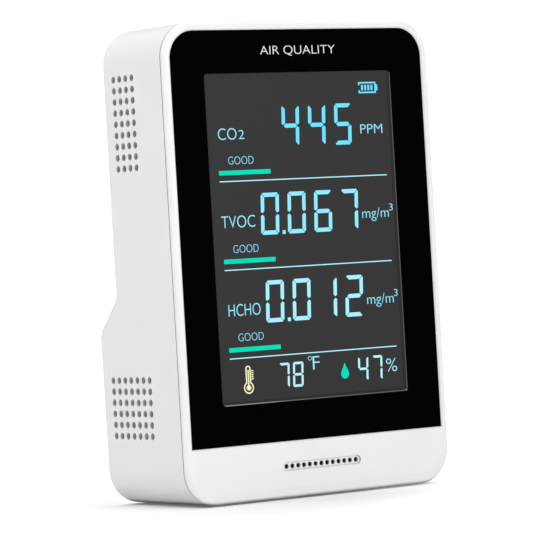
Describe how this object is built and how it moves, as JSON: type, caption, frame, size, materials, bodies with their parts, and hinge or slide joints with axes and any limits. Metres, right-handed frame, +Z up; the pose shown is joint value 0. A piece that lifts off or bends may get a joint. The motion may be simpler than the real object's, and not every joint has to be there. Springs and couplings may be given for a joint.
{
  "type": "air quality monitor",
  "caption": "Free-standing desktop air quality monitor: white casing with side vents, black bezel round a segment display, inner sensors, battery and boards, and sprung keys on the back.",
  "frame": {"origin": "on the surface that it stands on, under the middle of its bounding box", "axes": "+Z up, the display faces -Y, +X to the right as seen from the front"},
  "size_m": [0.0956, 0.0438, 0.1404],
  "materials": {
    "white_casing": "fine-textured white ABS",
    "black_bezel": "high-gloss black",
    "adhesive": "black foam tape",
    "acoustic_mesh": "black woven mesh on foam",
    "display_film": "dark polarising film",
    "display_glass": "two bonded sheets of thin glass",
    "white_film": "white optical sheet",
    "clear_acrylic": "clear moulded acrylic",
    "tray_plastic": "white moulded plastic",
    "green_board": "solder resist on glass fibre",
    "chip_black": "black moulding compound",
    "capacitor_metal": "plain cans",
    "gold_plate": "gold-plated optical cell",
    "tinned_metal": "tinned pins and nickel tabs",
    "filter_white": "porous membrane",
    "sensor_shell": "pale moulded can",
    "socket_steel": "pressed steel shell",
    "connector_cream": "natural nylon",
    "key_white": "smooth white ABS",
    "plunger_plastic": "dark nylon",
    "cell_sleeve": "shrink sleeve",
    "red_lead": "red insulation",
    "black_lead": "black insulation",
    "grey_lead": "grey insulation",
    "screw_steel": "zinc-plated steel",
    "foot_rubber": "soft grey rubber"
  },
  "bodies": {
    "casing": {"front_housing": "white_casing", "rear_housing": "white_casing", "bezel_panel": "black_bezel", "bezel_tape": "adhesive", "cradle_tape": "adhesive", "slot_mesh": "acoustic_mesh", "display_front_film": "display_film", "display_rear_film": "display_film", "display_glass": "display_glass", "backlight_diffuser": "white_film", "backlight_reflector": "white_film", "light_guide": "clear_acrylic", "display_tray": "tray_plastic", "main_board": "green_board", "co2_sensor_board": "green_board", "climate_board": "green_board", "key_board": "green_board", "backlight_strip": "green_board", "processor": "chip_black", "board_chips": "chip_black", "climate_sensor": "chip_black", "key_switches": "chip_black", "battery_cradle": "chip_black", "buzzer": "chip_black", "board_capacitors": "capacitor_metal", "vapour_sensor": "capacitor_metal", "co2_sensor_cell": "gold_plate", "display_pins": "tinned_metal", "co2_sensor_pins": "tinned_metal", "battery_tabs": "tinned_metal", "co2_sensor_filter": "filter_white", "formaldehyde_sensor": "sensor_shell", "charging_socket": "socket_steel", "battery_socket": "connector_cream", "battery_plug": "connector_cream", "battery_cell": "cell_sleeve", "battery_lead_red": "red_lead", "battery_lead_black": "black_lead", "buzzer_leads": "black_lead", "key_leads": "grey_lead", "case_screws": "screw_steel", "board_screws": "screw_steel", "key_board_screws": "screw_steel", "rubber_feet": "foot_rubber"},
    "power_key_body": {"power_key": "key_white", "power_switch_plunger": "plunger_plastic"},
    "unit_key_body": {"unit_key": "key_white", "unit_switch_plunger": "plunger_plastic"},
    "alarm_key_body": {"alarm_key": "key_white", "alarm_switch_plunger": "plunger_plastic"}
  },
  "joints": [
    {"name": "power_key_press", "type": "slide", "parent": "casing", "child": "power_key_body", "axis": [0, -1, 0], "range_m": [0, 0.0004], "stiffness_N_per_m": 2000},
    {"name": "unit_key_press", "type": "slide", "parent": "casing", "child": "unit_key_body", "axis": [0, -1, 0], "range_m": [0, 0.0004], "stiffness_N_per_m": 2000},
    {"name": "alarm_key_press", "type": "slide", "parent": "casing", "child": "alarm_key_body", "axis": [0, -1, 0], "range_m": [0, 0.0004], "stiffness_N_per_m": 2000}
  ]
}
